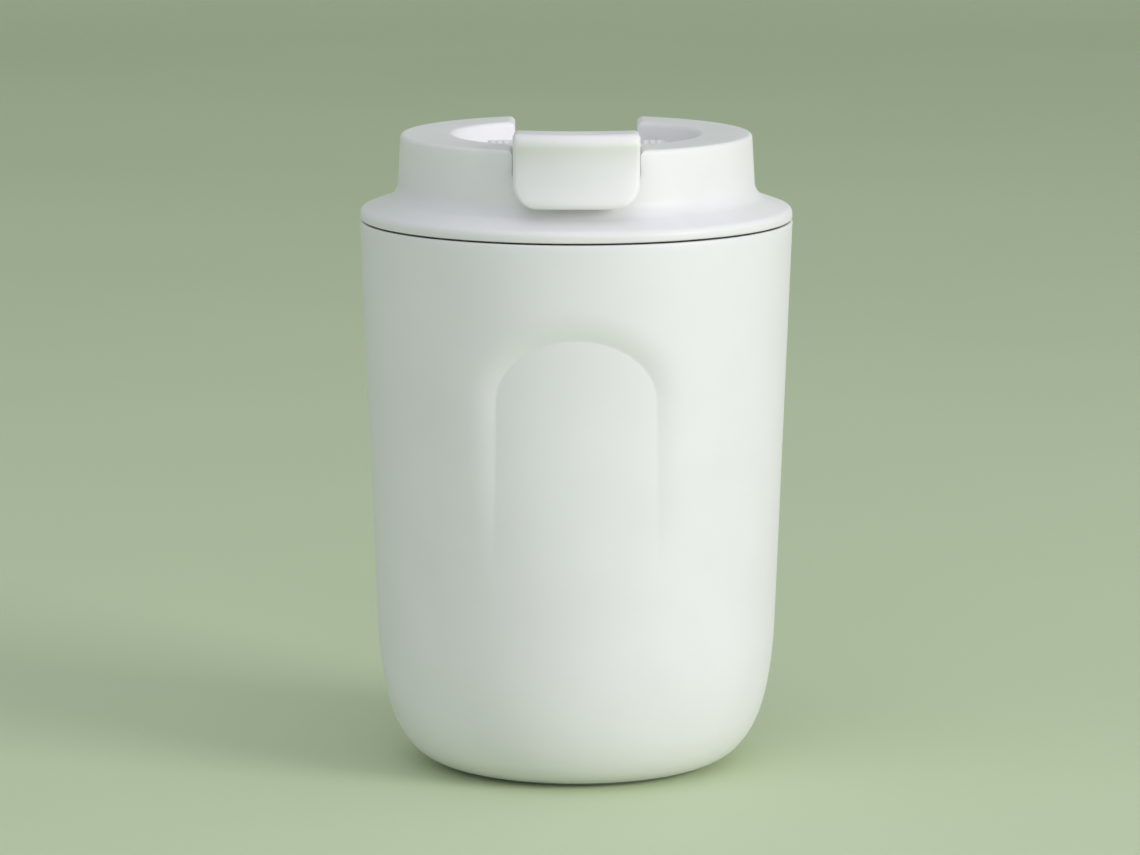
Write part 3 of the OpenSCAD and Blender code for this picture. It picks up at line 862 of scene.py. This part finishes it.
def moulded_white(name, roughness, grain):
    """White polypropylene with a fine spark-eroded grain and a little light inside it."""
    mat, tree, shader, coords = new_material(name, (0.84, 0.85, 0.83), roughness)
    cloudy = noise(tree, coords, scale=80)
    tint = ramp(tree, cloudy, (0.35, 0.65), (0.832, 0.828, 0.812), (0.852, 0.848, 0.832))
    dust = specks(tree, coords, scale=110, size=0.018)
    dusty = blend_color(tree, dust, tint, (0.4, 0.4, 0.38))
    tree.links.new(dusty, shader.inputs["Base Color"])
    uneven = noise(tree, coords, scale=1200)
    satin = spread(tree, uneven, MIDDLE, (roughness - 0.04, roughness + 0.05))
    tree.links.new(satin, shader.inputs["Roughness"])
    sparks = noise(tree, coords, 4200, detail=3)
    fine = bump(tree, shader, sparks, distance=0.01 * grain, strength=0.6)
    waves = noise(tree, coords, 140, detail=2)
    bump(tree, shader, waves, distance=0.05, strength=0.15, under=fine)
    shader.inputs["Subsurface Weight"].default_value = 0.45
    shader.inputs["Subsurface Radius"].default_value = (1.0, 0.95, 0.85)
    shader.inputs["Subsurface Scale"].default_value = 0.003
    return mat


def silicone(name, color):
    """Matte silicone rubber with a dusty bloom and moulding grain."""
    mat, tree, shader, coords = new_material(name, color, 0.62)
    bloom = ramp(tree, noise(tree, coords, 220, detail=4), MIDDLE, darker(color, 0.9), color)
    tree.links.new(bloom, shader.inputs["Base Color"])
    matte = spread(tree, noise(tree, coords, scale=700), MIDDLE, (0.55, 0.72))
    tree.links.new(matte, shader.inputs["Roughness"])
    bump(tree, shader, noise(tree, coords, 2600, detail=3), distance=0.02, strength=0.5)
    shader.inputs["Subsurface Weight"].default_value = 0.15
    shader.inputs["Subsurface Scale"].default_value = 0.001
    shader.inputs["Sheen Weight"].default_value = 0.1
    return mat


def brushed_metal(name, color, roughness, direction=(1, 1, 60)):
    """Metal with fine scratches: large numbers in direction run across the grain."""
    mat, tree, shader, coords = new_material(name, color, roughness, 1.0)
    grain = noise(tree, stretched(tree, coords, direction), 90, detail=4)
    streaks = ramp(tree, grain, MIDDLE, darker(color, 0.86), color)
    tree.links.new(streaks, shader.inputs["Base Color"])
    satin = spread(tree, grain, (0.25, 0.75), (roughness - 0.07, roughness + 0.1))
    tree.links.new(satin, shader.inputs["Roughness"])
    bump(tree, shader, grain, distance=0.01, strength=0.5)
    return mat


def copper_foil():
    """Bright copper foil with the soft creases of a hand-wrapped sheet, and painted shade in the
    crease hollows.
    """
    mat, tree, shader, coords = new_material("copper_foil_bright", (0.75, 0.42, 0.27), 0.28, 1.0)
    creases = noise(tree, stretched(tree, coords, (1, 1, 0.35)), 160, detail=5, roughness=0.6)
    # Painted shade: the colour is darker where the crease bump is low, in the hollows of the creases.
    tone = ramp(tree, creases, MIDDLE, (0.62, 0.33, 0.2), (0.8, 0.47, 0.31))
    tree.links.new(tone, shader.inputs["Base Color"])
    tree.links.new(spread(tree, creases, MIDDLE, (0.2, 0.42)), shader.inputs["Roughness"])
    bump(tree, shader, creases, distance=0.15, strength=0.6)
    return mat


def closed_foam():
    """Closed-cell foam: small round cells under a cut face, with painted shade in the hollow middle of
    each cell.
    """
    mat, tree, shader, coords = new_material("closed_foam", (0.86, 0.83, 0.74), 0.85)
    cells = tree.nodes.new("ShaderNodeTexVoronoi")
    cells.inputs["Scale"].default_value = 1400
    tree.links.new(coords, cells.inputs["Vector"])
    depth = cells.outputs["Distance"]
    # Painted shade: the colour is darkest at each cell's middle, where the bump is lowest.
    tone = ramp(tree, depth, (0.1, 0.7), (0.7, 0.66, 0.56), (0.89, 0.86, 0.78))
    tree.links.new(tone, shader.inputs["Base Color"])
    bump(tree, shader, depth, distance=0.1, strength=0.6)
    return mat


def pressed_powder(name, color, roughness):
    """Dull grey sintered metal, pitted and uneven, with painted shade in the pits."""
    mat, tree, shader, coords = new_material(name, color, roughness, 0.8)
    pits = noise(tree, coords, 1800, detail=4, roughness=0.65)
    # Painted shade: the colour is darker in the pits, where the bump is low, and lighter on the tops
    # between them.
    light = tuple(min(1.3 * c, 1) for c in color)
    tree.links.new(ramp(tree, pits, MIDDLE, color, light), shader.inputs["Base Color"])
    dull = spread(tree, pits, MIDDLE, (roughness - 0.1, roughness + 0.1))
    tree.links.new(dull, shader.inputs["Roughness"])
    bump(tree, shader, pits, distance=0.04, strength=0.7)
    return mat


def dress(obj, mat):
    obj.data.materials.clear()
    obj.data.materials.append(mat)


# ---------------------------------------------------------------- pieces

shell = build_shell()
cover = build_cover()
lever = build_lever()

lid_white = moulded_white("lid_white", roughness=0.46, grain=1.0)
plug_white = moulded_white("plug_white", roughness=0.34, grain=0.5)
seal_rubber = silicone("silicone_clear", (0.7, 0.71, 0.69))
base_steel = brushed_metal("base_steel", (0.55, 0.55, 0.55), 0.34, (1, 40, 1))

dress(shell, powder_coat())
dress(cover, lid_white)
dress(lever, lid_white)

NODE_LOOKS = {
    "inner_liner": brushed_metal("liner_steel", (0.62, 0.61, 0.6), 0.28),
    "copper_foil": copper_foil(),
    "getter": pressed_powder("getter_powder", (0.2, 0.2, 0.21), 0.7),
    "vacuum_base": base_steel,
    "seal_bead": pressed_powder("bead_braze", (0.36, 0.36, 0.37), 0.4),
    "base_cover": base_steel,
    "foot_pad": silicone("silicone_grey", (0.5, 0.51, 0.49)),
    "seal_ring": seal_rubber,
    "lid_plug": plug_white,
    "insulation_disc": closed_foam(),
    "duct_gasket": seal_rubber,
    "hinge_cap_left": lid_white,
    "hinge_cap_right": lid_white,
    "stopper_carrier": plug_white,
    "sip_stopper": seal_rubber,
    "vent_stopper": seal_rubber,
    "hinge_pin": brushed_metal("pin_steel", (0.6, 0.6, 0.6), 0.22, (1, 40, 40)),
}
for node_name, look in NODE_LOOKS.items():
    for slot in NODES[node_name].material_slots:
        slot.material = look

# Edge radii of the nodes that are carried over, in millimetres.
ROUNDED_NODES = {
    "lid_plug": 0.25, "hinge_cap_left": 0.12, "hinge_cap_right": 0.12, "stopper_carrier": 0.3,
    "sip_stopper": 0.25, "vent_stopper": 0.2, "foot_pad": 0.15, "insulation_disc": 0.4,
    "duct_gasket": 0.2, "hinge_pin": 0.15, "base_cover": 0.15,
}
for node_name, edge_width in ROUNDED_NODES.items():
    bevel(NODES[node_name], edge_width)
    even_shading(NODES[node_name])


# ---------------------------------------------------------------- stage, light, camera

# The camera was fitted to the mug's outline: millimetres, and degrees below level.
CAMERA_PLACE = (-1.25, -1169.6, 251.6)
CAMERA_TILT = 8.944
CAMERA_LENS = 187.1
CAMERA_SENSOR = 36.0
LIGHT_AIM = (0, 0, 0.07)


def build_floor():
    """A pale sweep, in metres: flat floor that curves up into a backdrop far behind."""
    near, bend_y, radius, top, half, steps = -3.0, 1.6, 0.8, 2.4, 4.0, 16
    path = [(near, 0.0), (bend_y, 0.0)]
    path += [(bend_y + radius * math.sin(a), radius - radius * math.cos(a))
             for a in (math.radians(90 * k / steps) for k in range(1, steps + 1))]
    path += [(bend_y + radius, top)]
    verts = [(x / MM, y / MM, z / MM) for y, z in path for x in (-half, half)]
    faces = [(2 * k, 2 * k + 1, 2 * k + 3, 2 * k + 2) for k in range(len(path) - 1)]
    floor = make_object("floor_sweep", verts, faces)
    mat, tree, shader, coords = new_material("floor_paper", (0.62, 0.72, 0.47), 0.7)
    tone = ramp(tree, noise(tree, coords, scale=3), MIDDLE, (0.60, 0.70, 0.45), (0.63, 0.73, 0.48))
    tree.links.new(tone, shader.inputs["Base Color"])
    bump(tree, shader, noise(tree, coords, 900, detail=3), distance=0.05, strength=0.2)
    dress(floor, mat)


def area_light(name, place, size, power, color):
    """A rectangular lamp that faces the mug: metres and watts."""
    data = bpy.data.lights.new(name, "AREA")
    data.shape = "RECTANGLE"
    data.size, data.size_y = size
    data.energy = power
    data.color = color
    lamp = bpy.data.objects.new(name, data)
    lamp.location = place
    lamp.rotation_euler = (Vector(LIGHT_AIM) - Vector(place)).to_track_quat("-Z", "Y").to_euler()
    bpy.context.scene.collection.objects.link(lamp)


def build_lights():
    """A large key from the right, weak fills, and a pale sky all round."""
    area_light("key", (1.52, -0.98, 0.6), (0.8, 0.8), 19.0, (0.99, 0.965, 1.0))
    area_light("front_fill", (-0.3, -1.75, 1.05), (1.4, 0.9), 3.1, (0.97, 0.96, 1.0))
    area_light("left_fill", (-1.6, -0.9, 0.3), (1.0, 0.6), 2.0, (0.96, 0.98, 1.0))
    area_light("overhead", (0.0, -0.3, 1.6), (1.6, 1.6), 5.3, (0.95, 0.97, 1.0))
    world = bpy.data.worlds.new("studio")
    world.use_nodes = True
    sky = world.node_tree.nodes["Background"]
    sky.inputs["Color"].default_value = (0.82, 0.86, 0.96, 1)
    sky.inputs["Strength"].default_value = 0.46
    bpy.context.scene.world = world
    bpy.context.scene.view_settings.view_transform = "Standard"


def build_camera():
    """A long lens in front of the mug, higher than the lid, looking slightly down."""
    data = bpy.data.cameras.new("camera")
    data.lens = CAMERA_LENS
    data.sensor_width = CAMERA_SENSOR
    camera = bpy.data.objects.new("camera", data)
    camera.location = tuple(c * MM for c in CAMERA_PLACE)
    camera.rotation_euler = (math.radians(90 - CAMERA_TILT), 0, 0)
    bpy.context.scene.collection.objects.link(camera)
    bpy.context.scene.camera = camera


build_floor()
build_lights()
build_camera()
